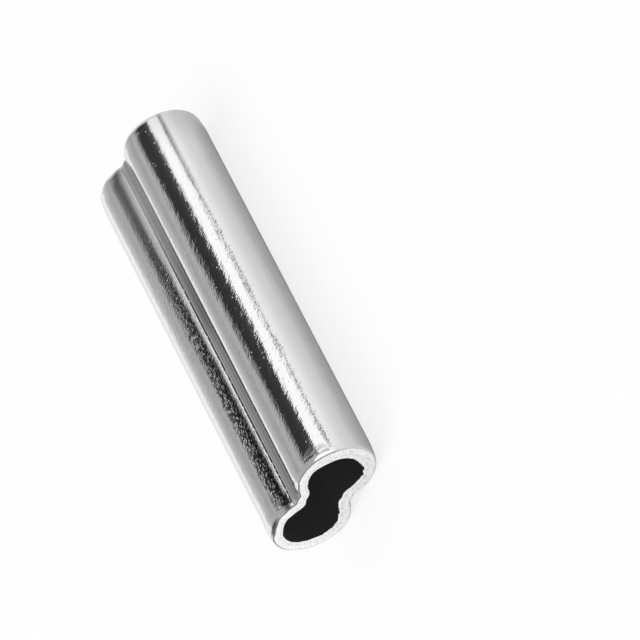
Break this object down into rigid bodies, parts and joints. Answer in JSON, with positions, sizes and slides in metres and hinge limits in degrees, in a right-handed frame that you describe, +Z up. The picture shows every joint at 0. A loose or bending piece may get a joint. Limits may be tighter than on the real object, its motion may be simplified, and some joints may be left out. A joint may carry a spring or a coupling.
{
  "type": "wire rope ferrule",
  "caption": "Figure-eight tube sleeve that is pressed over two runs of wire rope to close an eye.",
  "frame": {"origin": "middle of the tube, halfway along it and halfway between the axes of its two lobes", "axes": "+X along the bores, +Y from one lobe to the other, +Z up through the valleys, with the tube lying on both lobes"},
  "size_m": [0.0274, 0.009, 0.0052],
  "materials": {
    "plated_metal": "polished"
  },
  "bodies": {
    "root": {"sleeve": "plated_metal"}
  },
  "joints": []
}
